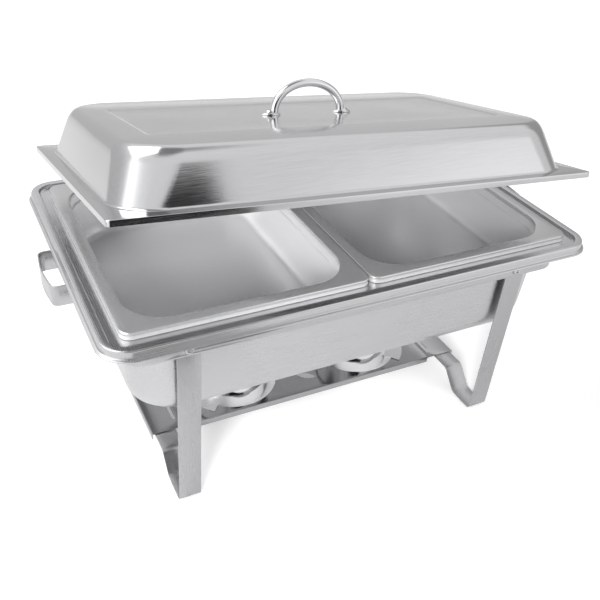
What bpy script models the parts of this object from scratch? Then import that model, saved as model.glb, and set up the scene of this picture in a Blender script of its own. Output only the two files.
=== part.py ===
"""Folding chafing dish: a strip stand with a fuel shelf, a water pan, two half-size food pans and a lid.

The origin is on the table, under the middle of the stand. +X runs along the long side, -Y is the front.
The lid is held tipped open over the pans; the empty "lid_tilt" sits on the line that it tips about.
"""

import math

import bmesh
import bpy
from mathutils import Matrix, Quaternion, Vector

MM = 0.001

# Driving dimensions
FOOD_PAN_X = 264.4 * MM
FOOD_PAN_Y = 325.0 * MM
FOOD_PAN_CENTRE_X = 132.6 * MM
FOOD_PAN_DEPTH = 65 * MM
PAN_TOP = 256 * MM
WATER_PAN_DEPTH = 124 * MM
RIM_OVERHANG = 20.6 * MM
RIM_LIP = 3.4 * MM
RAIL_HALF_X = 264 * MM
RAIL_HALF_Y = 160.5 * MM
RAIL_HEIGHT = 34 * MM
LEG_X = 200 * MM
PIVOT_HEIGHT = 220 * MM
LEG_WIDTH = 25.4 * MM
HANDLE_REACH = 307 * MM
LID_HALF_X = 272 * MM
LID_HALF_Y = 169.5 * MM
LID_HEIGHT = 52 * MM

# Sheet and wire
SHEET = 0.8 * MM
RAIL_STRIP = 1.2 * MM
STRIP = 1.5 * MM
GAP = 0.4 * MM

# The nominal outline of the two food pans together, which the water pan's rim and the lid follow
PANS_HALF_X = 265 * MM
PANS_HALF_Y = 162.5 * MM

# Water pan
LEDGE_DROP = 7.9 * MM
RIDGE_DROP = 3.8 * MM

# Stand
RAIL_TOP = PAN_TOP - LEDGE_DROP - SHEET - GAP
RAIL_CORNER = 24 * MM
LEG_TOP_FACE_Y = RAIL_HALF_Y - RAIL_STRIP - GAP
FOOT_FACE_Y = 149 * MM
FOOT_LENGTH = 37 * MM
SHELF_REST = 26 * MM
RIVET_SHANK = 2.4 * MM
RIVET_HEAD = 4.7 * MM
HOLE = RIVET_SHANK + GAP

# Side handles
HANDLE_HEIGHT = 24 * MM
HANDLE_TOP = PAN_TOP - 15.2 * MM
HANDLE_HALF_Y = 36 * MM
HANDLE_TAB = 22 * MM
HANDLE_RIVET_Y = HANDLE_HALF_Y + 12 * MM

# Fuel shelf and cups
SHELF_HALF_X = 216.5 * MM
SHELF_HALF_Y = 62.5 * MM
SHELF_THICKNESS = 1.0 * MM
SHELF_TOP = SHELF_REST + GAP + SHELF_THICKNESS
SHELF_FLANGE = 8 * MM
SHELF_FLANGE_HALF_X = 175 * MM
CUP_X = 90.5 * MM
CUP_RADIUS = 47 * MM
CUP_HOLE = 57.5 * MM
CUP_EAR_REACH = 69 * MM
CUP_EAR_ANGLE = 38
CUP_EAR_HALF_SWEEP = 13
CUP_BOTTOM = 8 * MM
CUP_TOP = 76 * MM

# Lid
LID_CLOSED_HEIGHT = PAN_TOP + SHEET + GAP
LID_OPEN_ANGLE = math.radians(12.3)
LID_AXIS_TURN = math.radians(-19)
LID_AXIS_DISTANCE = 290 * MM
PANEL_HALF_X = 207 * MM
PANEL_HALF_Y = 79 * MM
PANEL_STEP = 1.0 * MM
LID_HANDLE_HALF = 41.5 * MM
LID_HANDLE_RISE = 30.5 * MM
LID_HANDLE_ROD = 4.5 * MM
LID_HANDLE_FOOT = 1.6 * MM
SCREW_SHANK = 2.2 * MM
SCREW_DEPTH = 9 * MM

# Mesh fineness
CORNER_STEPS = 5
TURN_STEPS = 28
FASTENER_STEPS = 12

# Colours, as linear RGB
STEEL = (0.58, 0.58, 0.59)
STRIP_STEEL = (0.50, 0.50, 0.51)
CHROME = (0.72, 0.72, 0.73)


# ---------------------------------------------------------------- scene, materials and helpers

def clear_scene():
    for item in list(bpy.data.objects):
        bpy.data.objects.remove(item, do_unlink=True)


def new_collection(name):
    collection = bpy.data.collections.new(name)
    bpy.context.scene.collection.children.link(collection)
    return collection


def metal(name, colour, roughness):
    material = bpy.data.materials.new(name)
    material.use_nodes = True
    shader = material.node_tree.nodes["Principled BSDF"]
    shader.inputs["Base Color"].default_value = (*colour, 1.0)
    shader.inputs["Metallic"].default_value = 1.0
    shader.inputs["Roughness"].default_value = roughness
    return material


def add_object(name, mesh, collection, parent=None):
    item = bpy.data.objects.new(name, mesh)
    collection.objects.link(item)
    item.parent = parent
    return item


def finish_part(item, material):
    item.data.materials.clear()
    item.data.materials.append(material)
    for face in item.data.polygons:
        face.use_smooth = True
    item.data.set_sharp_from_angle(angle=math.radians(35))


def solidify(item, thickness, offset=-1.0):
    modifier = item.modifiers.new("thickness", "SOLIDIFY")
    modifier.thickness = thickness
    modifier.offset = offset
    modifier.use_even_offset = True
    return modifier


def boolean(item, cutter, operation="DIFFERENCE"):
    modifier = item.modifiers.new(cutter.name, "BOOLEAN")
    modifier.operation = operation
    modifier.solver = "EXACT"
    modifier.object = cutter


def hide_guide(item):
    item.hide_render = True
    item.display_type = "WIRE"


def rounded_rectangle(half_x, half_y, radius, steps=CORNER_STEPS):
    """Points of a rectangle with round corners, anticlockwise from above."""
    points = []
    corners = ((1, 1), (-1, 1), (-1, -1), (1, -1))
    for quarter, (side_x, side_y) in enumerate(corners):
        centre_x = side_x * (half_x - radius)
        centre_y = side_y * (half_y - radius)
        for step in range(steps + 1):
            angle = math.radians(90 * quarter) + math.radians(90) * step / steps
            points.append((centre_x + radius * math.cos(angle), centre_y + radius * math.sin(angle)))
    return points


def pressed_sheet(name, rings, collection, parent=None, closed_end=True):
    """A pressed shape: each ring is (half_x, half_y, corner radius, z), from the outer lip inwards."""
    work = bmesh.new()
    loops = []
    for half_x, half_y, radius, height in rings:
        outline = rounded_rectangle(half_x, half_y, radius)
        loops.append([work.verts.new((x, y, height)) for x, y in outline])
    count = len(loops[0])
    for outer, inner in zip(loops, loops[1:]):
        for index in range(count):
            following = (index + 1) % count
            work.faces.new((outer[index], outer[following], inner[following], inner[index]))
    if closed_end:
        work.faces.new(loops[-1])
    mesh = bpy.data.meshes.new(name)
    work.to_mesh(mesh)
    work.free()
    return add_object(name, mesh, collection, parent)


def offset_rings(half_x, half_y, steps):
    """Rings from (inset, z, corner radius) steps inside one outline."""
    return [(half_x - inset, half_y - inset, radius, height) for inset, height, radius in steps]


def fillet_path(corners, steps=4):
    """A polyline through (u, v, radius) corners, each rounded to its radius."""
    points = [Vector(corners[0][:2])]
    for before, corner, after in zip(corners, corners[1:], corners[2:]):
        here = Vector(corner[:2])
        back = (Vector(before[:2]) - here).normalized()
        ahead = (Vector(after[:2]) - here).normalized()
        half_angle = back.angle(ahead) / 2
        centre = here + (back + ahead).normalized() * corner[2] / math.sin(half_angle)
        start = here + back * corner[2] / math.tan(half_angle) - centre
        end = here + ahead * corner[2] / math.tan(half_angle) - centre
        turn = start.angle_signed(end)
        for step in range(steps + 1):
            points.append(centre + Matrix.Rotation(-turn * step / steps, 2) @ start)
    points.append(Vector(corners[-1][:2]))
    return points


def strip(name, path, across, collection, place):
    """A ribbon: the path is swept by the two limits of "across", and place(point, limit) gives 3-D points."""
    work = bmesh.new()
    rows = [[work.verts.new(place(point, limit)) for limit in across] for point in path]
    for first, second in zip(rows, rows[1:]):
        work.faces.new((first[0], first[1], second[1], second[0]))
    bmesh.ops.remove_doubles(work, verts=work.verts, dist=1e-6)
    mesh = bpy.data.meshes.new(name)
    work.to_mesh(mesh)
    work.free()
    return add_object(name, mesh, collection)


def cylinder_guide(name, radius, length, centre, axis, guides, parent=None, steps=FASTENER_STEPS):
    work = bmesh.new()
    bmesh.ops.create_cone(
        work, cap_ends=True, segments=steps, radius1=radius, radius2=radius, depth=length)
    mesh = bpy.data.meshes.new(name)
    work.to_mesh(mesh)
    work.free()
    item = add_object(name, mesh, guides, parent)
    item.rotation_mode = "QUATERNION"
    item.rotation_quaternion = Vector((0, 0, 1)).rotation_difference(Vector(axis))
    item.location = centre
    hide_guide(item)
    return item


def prism_guide(name, outline, bottom, top, guides):
    work = bmesh.new()
    face = work.faces.new([work.verts.new((x, y, bottom)) for x, y in outline])
    face.normal_update()
    if face.normal.z > 0:
        face.normal_flip()
    grown = bmesh.ops.extrude_face_region(work, geom=[face], use_keep_orig=True)
    moved = [item for item in grown["geom"] if isinstance(item, bmesh.types.BMVert)]
    bmesh.ops.translate(work, verts=moved, vec=(0, 0, top - bottom))
    bmesh.ops.recalc_face_normals(work, faces=work.faces)
    mesh = bpy.data.meshes.new(name)
    work.to_mesh(mesh)
    work.free()
    item = add_object(name, mesh, guides)
    hide_guide(item)
    return item


def turned(name, profile, collection, parent=None, steps=TURN_STEPS):
    """A turned shape: the (radius, z) profile runs down its outer side."""
    mesh = bpy.data.meshes.new(name)
    points = [(radius, 0, height) for radius, height in profile]
    mesh.from_pydata(points, [(i, i + 1) for i in range(len(points) - 1)], [])
    item = add_object(name, mesh, collection, parent)
    modifier = item.modifiers.new("turn", "SCREW")
    modifier.axis = "Z"
    modifier.steps = steps
    modifier.render_steps = steps
    modifier.use_merge_vertices = True
    modifier.merge_threshold = 0.0001
    modifier.use_normal_calculate = False
    return item


def arc_points(centre_u, centre_v, radius, start, end, steps):
    """Points on an arc, with its angles in degrees."""
    return [
        (centre_u + radius * math.cos(math.radians(start + (end - start) * step / steps)),
         centre_v + radius * math.sin(math.radians(start + (end - start) * step / steps)))
        for step in range(steps + 1)]


# ---------------------------------------------------------------- pans

def build_food_pan(name, centre_x, parts, material):
    lip = 7.5 * MM
    fold = 2.4 * MM
    floor = -FOOD_PAN_DEPTH
    steps = [
        (0.3 * MM, -lip, 11 * MM),
        (0, -fold, 11 * MM),
        (0.7 * MM, -0.7 * MM, 10.6 * MM),
        (fold, 0, 9.5 * MM),
        (11 * MM, 0, 44 * MM),
        (13.2 * MM, -1.0 * MM, 46 * MM),
        (14 * MM, -3.2 * MM, 46 * MM),
        (14.6 * MM, -12 * MM, 46 * MM),
        (16.2 * MM, -13.5 * MM, 45 * MM),
        (20 * MM, floor + 16 * MM, 42 * MM),
        (22 * MM, floor + 7 * MM, 41 * MM),
        (27 * MM, floor + 1.8 * MM, 38 * MM),
        (34 * MM, floor, 34 * MM),
    ]
    rings = offset_rings(FOOD_PAN_X / 2, FOOD_PAN_Y / 2, steps)
    pan = pressed_sheet(name, rings, parts)
    pan.location = (centre_x, 0, PAN_TOP)
    solidify(pan, SHEET)
    finish_part(pan, material)
    return pan


def build_water_pan(parts, material):
    floor = -WATER_PAN_DEPTH
    out = RIM_OVERHANG
    steps = [
        (-out - RIM_LIP, -14.4 * MM, 32 * MM),
        (-out - RIM_LIP + 0.6 * MM, -13.4 * MM, 31.4 * MM),
        (-out - 0.9 * MM, -12.8 * MM, 29.7 * MM),
        (-out, -11.6 * MM, 28.8 * MM),
        (-out, -RIDGE_DROP - 2.4 * MM, 28.8 * MM),
        (-out + 0.8 * MM, -RIDGE_DROP - 0.7 * MM, 28 * MM),
        (-out + 2.6 * MM, -RIDGE_DROP, 26 * MM),
        (-12.4 * MM, -RIDGE_DROP, 17.5 * MM),
        (-10.9 * MM, -RIDGE_DROP - 0.8 * MM, 16 * MM),
        (-10.2 * MM, -LEDGE_DROP + 0.9 * MM, 15.5 * MM),
        (-9.2 * MM, -LEDGE_DROP, 14.5 * MM),
        (6.0 * MM, -LEDGE_DROP, 40 * MM),
        (8.4 * MM, -LEDGE_DROP - 0.9 * MM, 44 * MM),
        (9.4 * MM, -LEDGE_DROP - 3.5 * MM, 46 * MM),
        (13.6 * MM, floor + 30 * MM, 46 * MM),
        (15.6 * MM, floor + 17 * MM, 46 * MM),
        (20.5 * MM, floor + 7 * MM, 44 * MM),
        (28 * MM, floor + 1.6 * MM, 42 * MM),
        (38 * MM, floor, 38 * MM),
    ]
    pan = pressed_sheet("water_pan", offset_rings(PANS_HALF_X, PANS_HALF_Y, steps), parts)
    pan.location = (0, 0, PAN_TOP)
    solidify(pan, SHEET)
    finish_part(pan, material)


# ---------------------------------------------------------------- stand

def build_rail(parts, guides, material):
    steps = [
        (RAIL_HALF_X, RAIL_HALF_Y, RAIL_CORNER, RAIL_TOP - RAIL_HEIGHT),
        (RAIL_HALF_X, RAIL_HALF_Y, RAIL_CORNER, RAIL_TOP),
    ]
    rail = pressed_sheet("stand_rail", steps, parts, closed_end=False)
    solidify(rail, RAIL_STRIP)
    for side_x in (-1, 1):
        pivots = cylinder_guide(
            f"pivot_holes_{side_x}", HOLE, 2 * RAIL_HALF_Y + 10 * MM,
            (side_x * LEG_X, 0, PIVOT_HEIGHT), (0, 1, 0), guides)
        boolean(rail, pivots)
    for side_y in (-1, 1):
        holes = cylinder_guide(
            f"rail_handle_holes_{side_y}", HOLE, 2 * RAIL_HALF_X + 10 * MM,
            (0, side_y * HANDLE_RIVET_Y, HANDLE_TOP - HANDLE_HEIGHT / 2), (1, 0, 0), guides)
        boolean(rail, holes)
    finish_part(rail, material)


def build_side_handle(name, side, parts, guides, material):
    """A U strip that bows outwards, with a tab on each end against the rail's face."""
    tab_face = RAIL_HALF_X + GAP
    shoulder = HANDLE_REACH - STRIP - 4 * MM
    corners = [
        (tab_face, -HANDLE_HALF_Y - HANDLE_TAB, 0),
        (tab_face, -HANDLE_HALF_Y, 3 * MM),
        (shoulder, -HANDLE_HALF_Y, 5 * MM),
        (HANDLE_REACH - STRIP, 0, 60 * MM),
        (shoulder, HANDLE_HALF_Y, 5 * MM),
        (tab_face, HANDLE_HALF_Y, 3 * MM),
        (tab_face, HANDLE_HALF_Y + HANDLE_TAB, 0),
    ]
    path = fillet_path(corners)
    limits = (HANDLE_TOP - HANDLE_HEIGHT, HANDLE_TOP)
    handle = strip(
        name, path, limits, parts, lambda point, height: (side * point.x, point.y, height))
    solidify(handle, STRIP, offset=-1.0 if side > 0 else 1.0)
    for side_y in (-1, 1):
        hole = cylinder_guide(
            f"{name}_hole_{side_y}", HOLE, 12 * MM,
            (side * tab_face, side_y * HANDLE_RIVET_Y, HANDLE_TOP - HANDLE_HEIGHT / 2),
            (1, 0, 0), guides)
        boolean(handle, hole)
    finish_part(handle, material)


def build_leg_frame(name, side, parts, guides, material):
    """One strip in a plane across the stand: front post, foot, shelf rest, back foot, back post."""
    half = STRIP / 2
    foot_y = -FOOT_FACE_Y + half
    rest_y = -89 * MM
    corners = [
        (-LEG_TOP_FACE_Y + half, PIVOT_HEIGHT + 11 * MM, 0),
        (-LEG_TOP_FACE_Y + half, RAIL_TOP - RAIL_HEIGHT - 8 * MM, 14 * MM),
        (foot_y, half, 6 * MM),
        (foot_y + FOOT_LENGTH, half, 9 * MM),
        (rest_y, SHELF_REST - half, 5 * MM),
        (0, SHELF_REST - half, 0),
    ]
    path = fillet_path(corners)
    limits = (-LEG_WIDTH / 2, LEG_WIDTH / 2)
    leg = strip(name, path, limits, parts, lambda point, x: (x, point.x, point.y - PIVOT_HEIGHT))
    work = bmesh.new()
    work.from_mesh(leg.data)
    top = max(vertex.co.z for vertex in work.verts)
    ends = [vertex for vertex in work.verts if vertex.co.z > top - 1e-6]
    bmesh.ops.bevel(work, geom=ends, offset=7 * MM, segments=3, profile=0.5, affect="VERTICES")
    work.to_mesh(leg.data)
    work.free()
    leg.location = (side * LEG_X, 0, PIVOT_HEIGHT)
    mirror = leg.modifiers.new("back half", "MIRROR")
    mirror.use_axis = (False, True, False)
    mirror.merge_threshold = 0.0001
    solidify(leg, STRIP, offset=0.0)
    hole = cylinder_guide(
        f"{name}_hole", HOLE, 2 * RAIL_HALF_Y, (side * LEG_X, 0, PIVOT_HEIGHT), (0, 1, 0), guides)
    boolean(leg, hole)
    finish_part(leg, material)


def rivet_profile(grip):
    """A hollow rivet from its domed head, at z = 0 on the outer sheet, through "grip" to its inner head."""
    head = 1.9 * MM
    inner = -grip - 1.4 * MM
    return [
        (0, head - 1.3 * MM),
        (1.5 * MM, head - 1.3 * MM),
        (2.1 * MM, head),
        (3.6 * MM, head - 0.4 * MM),
        (RIVET_HEAD, 0.5 * MM),
        (RIVET_HEAD, 0),
        (RIVET_SHANK, 0),
        (RIVET_SHANK, -grip),
        (RIVET_HEAD - 0.5 * MM, -grip),
        (RIVET_HEAD - 0.5 * MM, inner + 0.5 * MM),
        (RIVET_HEAD - 1.1 * MM, inner),
        (0, inner),
    ]


def build_rivet(name, place, outwards, grip, parts, material):
    rivet = turned(name, rivet_profile(grip), parts, steps=FASTENER_STEPS)
    rivet.rotation_mode = "QUATERNION"
    rivet.rotation_quaternion = Vector((0, 0, 1)).rotation_difference(Vector(outwards))
    rivet.location = place
    finish_part(rivet, material)


def build_rivets(parts, material):
    clear = 0.3 * MM
    pivot_grip = RAIL_STRIP + GAP + STRIP + 2 * clear
    handle_grip = STRIP + GAP + RAIL_STRIP + 2 * clear
    handle_face = RAIL_HALF_X + GAP + STRIP + clear
    for side_x, word_x in ((-1, "left"), (1, "right")):
        for side_y, word_y in ((-1, "front"), (1, "back")):
            pivot = (side_x * LEG_X, side_y * (RAIL_HALF_Y + clear), PIVOT_HEIGHT)
            build_rivet(
                f"leg_rivet_{word_y}_{word_x}", pivot, (0, side_y, 0), pivot_grip, parts, material)
            seat = (
                side_x * handle_face, side_y * HANDLE_RIVET_Y, HANDLE_TOP - HANDLE_HEIGHT / 2)
            build_rivet(
                f"handle_rivet_{word_x}_{word_y}", seat, (side_x, 0, 0), handle_grip, parts, material)


# ---------------------------------------------------------------- fuel shelf and cups

def lens_outline(half_length, half_width):
    """A leaf shape around the origin: two arcs that meet in points, long in X."""
    radius = (half_length ** 2 + half_width ** 2) / (2 * half_width)
    sweep = math.degrees(math.asin(half_length / radius))
    lower = arc_points(0, radius - half_width, radius, 270 - sweep, 270 + sweep, 6)
    upper = arc_points(0, half_width - radius, radius, 90 - sweep, 90 + sweep, 6)
    return lower + upper[1:-1]


def sector_outline(inner, outer, middle, half_sweep):
    """Part of a ring around the origin, with its middle at an angle in degrees."""
    start = middle - half_sweep
    end = middle + half_sweep
    return arc_points(0, 0, inner, start, end, 3) + arc_points(0, 0, outer, end, start, 3)


def build_fuel_shelf(parts, guides, material):
    """A tray with turned-down edges. Its ends hook over the leg frames; its long flanges stop short of them."""
    columns = (-SHELF_HALF_X, -SHELF_FLANGE_HALF_X, SHELF_FLANGE_HALF_X, SHELF_HALF_X)
    work = bmesh.new()
    rows = [[work.verts.new((x, side * SHELF_HALF_Y, 0)) for x in columns] for side in (-1, 1)]
    for index in range(3):
        work.faces.new((rows[0][index], rows[0][index + 1], rows[1][index + 1], rows[1][index]))
    turned_down = [
        (rows[0][2], rows[0][1]),
        (rows[1][1], rows[1][2]),
        (rows[0][0], rows[1][0]),
        (rows[1][3], rows[0][3]),
    ]
    for first, second in turned_down:
        corners = [work.verts.new(vertex.co - Vector((0, 0, SHELF_FLANGE))) for vertex in (second, first)]
        work.faces.new((first, second, corners[0], corners[1]))
    bmesh.ops.recalc_face_normals(work, faces=work.faces)
    if sum(face.normal.z for face in work.faces) < 0:
        bmesh.ops.reverse_faces(work, faces=work.faces)
    mesh = bpy.data.meshes.new("fuel_shelf")
    work.to_mesh(mesh)
    work.free()
    shelf = add_object("fuel_shelf", mesh, parts)
    shelf.location = (0, 0, SHELF_TOP)
    solidify(shelf, SHELF_THICKNESS)
    bottom = SHELF_TOP - 4 * MM
    top = SHELF_TOP + 4 * MM
    for side in (-1, 1):
        opening = cylinder_guide(
            f"cup_opening_{side}", CUP_HOLE, top - bottom, (side * CUP_X, 0, SHELF_TOP), (0, 0, 1),
            guides, steps=TURN_STEPS)
        boolean(shelf, opening)
        lens = prism_guide(f"lens_slot_{side}", lens_outline(13 * MM, 5 * MM), bottom, top, guides)
        lens.location = (-side * 2 * MM, side * 34 * MM, 0)
        lens.rotation_euler = (0, 0, math.radians(-30))
        boolean(shelf, lens)
        for turn in (-1, 1):
            outline = rounded_rectangle(1.8 * MM, 15 * MM, 1.7 * MM, 2)
            slot = prism_guide(f"end_slot_{side}_{turn}", outline, bottom, top, guides)
            slot.location = (side * 184 * MM, turn * 31 * MM, 0)
            boolean(shelf, slot)
    finish_part(shelf, material)


def build_fuel_cup(name, side, parts, guides, material):
    """A round-bottomed cup that hangs in the shelf's opening by its ears."""
    seat = SHELF_TOP + GAP
    bend = 15 * MM
    profile = [
        (CUP_RADIUS + 2.4 * MM, CUP_TOP - 3.4 * MM),
        (CUP_RADIUS + 2.8 * MM, CUP_TOP - 1.6 * MM),
        (CUP_RADIUS + 1.8 * MM, CUP_TOP - SHEET),
        (CUP_RADIUS + 0.6 * MM, CUP_TOP - 1.2 * MM),
        (CUP_RADIUS, CUP_TOP - 2.8 * MM),
        (CUP_RADIUS, seat + 12 * MM),
    ]
    profile += arc_points(CUP_RADIUS - bend, CUP_BOTTOM + bend, bend, 0, -90, 5)
    profile.append((0, CUP_BOTTOM))
    cup = turned(name, profile, parts)
    cup.location = (side * CUP_X, 0, 0)
    solidify(cup, SHEET)
    outwards = 90 - 90 * side
    for middle in (outwards - CUP_EAR_ANGLE, outwards + CUP_EAR_ANGLE, outwards + 180):
        outline = sector_outline(
            CUP_RADIUS - 0.5 * MM, CUP_EAR_REACH, middle, CUP_EAR_HALF_SWEEP)
        ear = prism_guide(f"{name}_ear_{middle}", outline, seat, seat + SHEET, guides)
        ear.location = (side * CUP_X, 0, 0)
        boolean(cup, ear, "UNION")
    finish_part(cup, material)


# ---------------------------------------------------------------- lid

def lid_axis():
    """The point and the direction of the line that the lid tips about."""
    direction = Vector((-math.cos(LID_AXIS_TURN), -math.sin(LID_AXIS_TURN), 0))
    backwards = Vector((-math.sin(LID_AXIS_TURN), math.cos(LID_AXIS_TURN), 0))
    point = backwards * LID_AXIS_DISTANCE + Vector((0, 0, PAN_TOP))
    return point, direction


def build_lid_frame(parts):
    """An empty on the tilt line, and one under it whose own frame is the closed lid's: z = 0 on its flange."""
    point, direction = lid_axis()
    tilt = add_object("lid_tilt", None, parts)
    tilt.location = point
    tilt.rotation_mode = "QUATERNION"
    tilt.rotation_quaternion = Quaternion(direction, LID_OPEN_ANGLE)
    frame = add_object("lid_frame", None, parts, tilt)
    frame.location = Vector((0, 0, LID_CLOSED_HEIGHT)) - point
    return frame


def build_lid_shell(frame, parts, guides, material):
    steps = [
        (0, -6 * MM, 5 * MM),
        (0, -1.4 * MM, 5 * MM),
        (0.4 * MM, -0.4 * MM, 4.8 * MM),
        (1.4 * MM, 0, 4.2 * MM),
        (11 * MM, 0, 44 * MM),
        (12.6 * MM, 0.7 * MM, 45 * MM),
        (13.4 * MM, 2.4 * MM, 45 * MM),
        (24.4 * MM, LID_HEIGHT - 13 * MM, 46 * MM),
        (26.8 * MM, LID_HEIGHT - 7 * MM, 45 * MM),
        (31.0 * MM, LID_HEIGHT - 2.6 * MM, 42 * MM),
        (35.6 * MM, LID_HEIGHT - 0.6 * MM, 38 * MM),
        (40.0 * MM, LID_HEIGHT, 34 * MM),
    ]
    rings = offset_rings(LID_HALF_X, LID_HALF_Y, steps)
    edge = 1.4 * MM
    rings.append((PANEL_HALF_X, PANEL_HALF_Y, 5 * MM, LID_HEIGHT))
    rings.append((PANEL_HALF_X - edge, PANEL_HALF_Y - edge, 4 * MM, LID_HEIGHT - PANEL_STEP))
    shell = pressed_sheet("lid_shell", rings, parts, frame)
    solidify(shell, SHEET)
    for side in (-1, 1):
        hole = cylinder_guide(
            f"lid_hole_{side}", SCREW_SHANK + GAP, 10 * MM,
            (side * LID_HANDLE_HALF, 0, LID_HEIGHT), (0, 0, 1), guides, frame)
        boolean(shell, hole)
    finish_part(shell, material)


def handle_arch(frame, seat, parts):
    """The bent rod of the lid's handle, as a mesh with its caps welded."""
    data = bpy.data.curves.new("lid_handle_rod", "CURVE")
    data.dimensions = "3D"
    data.bevel_depth = LID_HANDLE_ROD
    data.bevel_resolution = 2
    data.use_fill_caps = True
    spline = data.splines.new("POLY")
    start = seat + LID_HANDLE_FOOT / 2
    bend = arc_points(0, 0, 1, 0, 180, 14)
    path = [(LID_HANDLE_HALF * u, start + 2 * MM + LID_HANDLE_RISE * v) for u, v in bend]
    path = [(LID_HANDLE_HALF, start)] + path + [(-LID_HANDLE_HALF, start)]
    spline.points.add(len(path) - 1)
    for point, (x, z) in zip(spline.points, path):
        point.co = (x, 0, z, 1)
    rod = bpy.data.objects.new("lid_handle_rod", data)
    parts.objects.link(rod)
    bpy.context.view_layer.update()
    depsgraph = bpy.context.evaluated_depsgraph_get()
    mesh = bpy.data.meshes.new_from_object(rod.evaluated_get(depsgraph))
    bpy.data.objects.remove(rod)
    work = bmesh.new()
    work.from_mesh(mesh)
    bmesh.ops.remove_doubles(work, verts=work.verts, dist=1e-5)
    bmesh.ops.recalc_face_normals(work, faces=work.faces)
    work.to_mesh(mesh)
    work.free()
    mesh.name = "lid_handle"
    return add_object("lid_handle", mesh, parts, frame)


def build_lid_handle(frame, parts, guides, material):
    seat = LID_HEIGHT - PANEL_STEP + GAP
    handle = handle_arch(frame, seat, parts)
    for side in (-1, 1):
        foot = lens_outline(11 * MM, 6 * MM)
        leaf = prism_guide(f"handle_foot_{side}", foot, 0, LID_HANDLE_FOOT, guides)
        leaf.parent = frame
        leaf.location = (side * (LID_HANDLE_HALF + 3 * MM), 0, seat)
        boolean(handle, leaf, "UNION")
        bore = cylinder_guide(
            f"handle_bore_{side}", SCREW_SHANK + GAP, 2 * SCREW_DEPTH,
            (side * LID_HANDLE_HALF, 0, seat), (0, 0, 1), guides, frame)
        boolean(handle, bore)
    finish_part(handle, material)


def build_lid_fasteners(frame, parts, material):
    """A washer and a screw under the lid's top at each foot of the handle."""
    washer_top = LID_HEIGHT - PANEL_STEP - SHEET - GAP
    washer = 1.0 * MM
    head_top = washer_top - washer - GAP
    head = 2.6 * MM
    outer = 6 * MM
    bore = SCREW_SHANK + GAP
    screw_profile = [
        (0, head_top + SCREW_DEPTH),
        (SCREW_SHANK - 0.5 * MM, head_top + SCREW_DEPTH),
        (SCREW_SHANK, head_top + SCREW_DEPTH - 0.6 * MM),
        (SCREW_SHANK, head_top),
        (4.4 * MM, head_top),
        (4.4 * MM, head_top - 1.2 * MM),
        (3.0 * MM, head_top - head),
        (0, head_top - head),
    ]
    washer_profile = [
        (bore, washer_top),
        (outer, washer_top),
        (outer, washer_top - washer),
        (bore, washer_top - washer),
        (bore, washer_top),
    ]
    for side, word in ((-1, "left"), (1, "right")):
        screw = turned(f"lid_screw_{word}", screw_profile, parts, frame, FASTENER_STEPS)
        screw.location = (side * LID_HANDLE_HALF, 0, 0)
        finish_part(screw, material)
        ring = turned(f"lid_washer_{word}", washer_profile, parts, frame, FASTENER_STEPS)
        ring.location = (side * LID_HANDLE_HALF, 0, 0)
        finish_part(ring, material)


# ---------------------------------------------------------------- assembly

def main():
    clear_scene()
    parts = new_collection("chafing_dish")
    guides = new_collection("guides")
    pan_steel = metal("pan_steel", STEEL, 0.28)
    strip_steel = metal("strip_steel", STRIP_STEEL, 0.38)
    polished = metal("polished_steel", STEEL, 0.16)
    chrome = metal("chrome", CHROME, 0.06)
    rivet_steel = metal("rivet_steel", STRIP_STEEL, 0.22)

    build_rail(parts, guides, strip_steel)
    for side, word in ((-1, "left"), (1, "right")):
        build_side_handle(f"side_handle_{word}", side, parts, guides, strip_steel)
        build_leg_frame(f"leg_frame_{word}", side, parts, guides, strip_steel)
        build_fuel_cup(f"fuel_cup_{word}", side, parts, guides, polished)
        build_food_pan(f"food_pan_{word}", side * FOOD_PAN_CENTRE_X, parts, pan_steel)
    build_rivets(parts, rivet_steel)
    build_fuel_shelf(parts, guides, polished)
    build_water_pan(parts, pan_steel)

    frame = build_lid_frame(parts)
    build_lid_shell(frame, parts, guides, pan_steel)
    build_lid_handle(frame, parts, guides, chrome)
    build_lid_fasteners(frame, parts, rivet_steel)
    bpy.context.view_layer.update()


main()
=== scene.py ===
"""Looks of the folding chafing dish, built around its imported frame. Sizes are in millimetres."""

import math

import bmesh
import bpy
from mathutils import Matrix, Quaternion, Vector


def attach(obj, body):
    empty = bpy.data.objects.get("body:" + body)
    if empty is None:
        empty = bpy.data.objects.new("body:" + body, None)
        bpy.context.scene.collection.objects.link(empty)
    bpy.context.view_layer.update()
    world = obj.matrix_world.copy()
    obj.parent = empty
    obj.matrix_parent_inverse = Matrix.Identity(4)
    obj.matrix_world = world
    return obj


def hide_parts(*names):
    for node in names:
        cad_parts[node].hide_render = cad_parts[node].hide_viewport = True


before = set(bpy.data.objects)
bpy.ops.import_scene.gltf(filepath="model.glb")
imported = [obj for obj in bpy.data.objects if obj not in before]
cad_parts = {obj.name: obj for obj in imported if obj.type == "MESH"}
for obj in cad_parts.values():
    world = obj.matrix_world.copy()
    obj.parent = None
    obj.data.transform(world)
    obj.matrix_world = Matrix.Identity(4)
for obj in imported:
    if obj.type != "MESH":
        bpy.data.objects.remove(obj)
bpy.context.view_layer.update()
MM = 0.001


# ---------------------------------------------------------------- geometry helpers

def add_object(name, data):
    item = bpy.data.objects.new(name, data)
    bpy.context.scene.collection.objects.link(item)
    return item


def add_piece(stands_for, mesh, body, material):
    """The visible piece that stands for a CAD node, rides on the node's body and has one material."""
    mesh.materials.clear()
    mesh.materials.append(material)
    item = add_object(f"{stands_for}_skin", mesh)
    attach(item, body)
    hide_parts(stands_for)


def to_mesh(work, name):
    """The bmesh's shape as a mesh in metres."""
    mesh = bpy.data.meshes.new(name)
    work.to_mesh(mesh)
    work.free()
    mesh.transform(Matrix.Scale(MM, 4))
    return mesh


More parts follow.
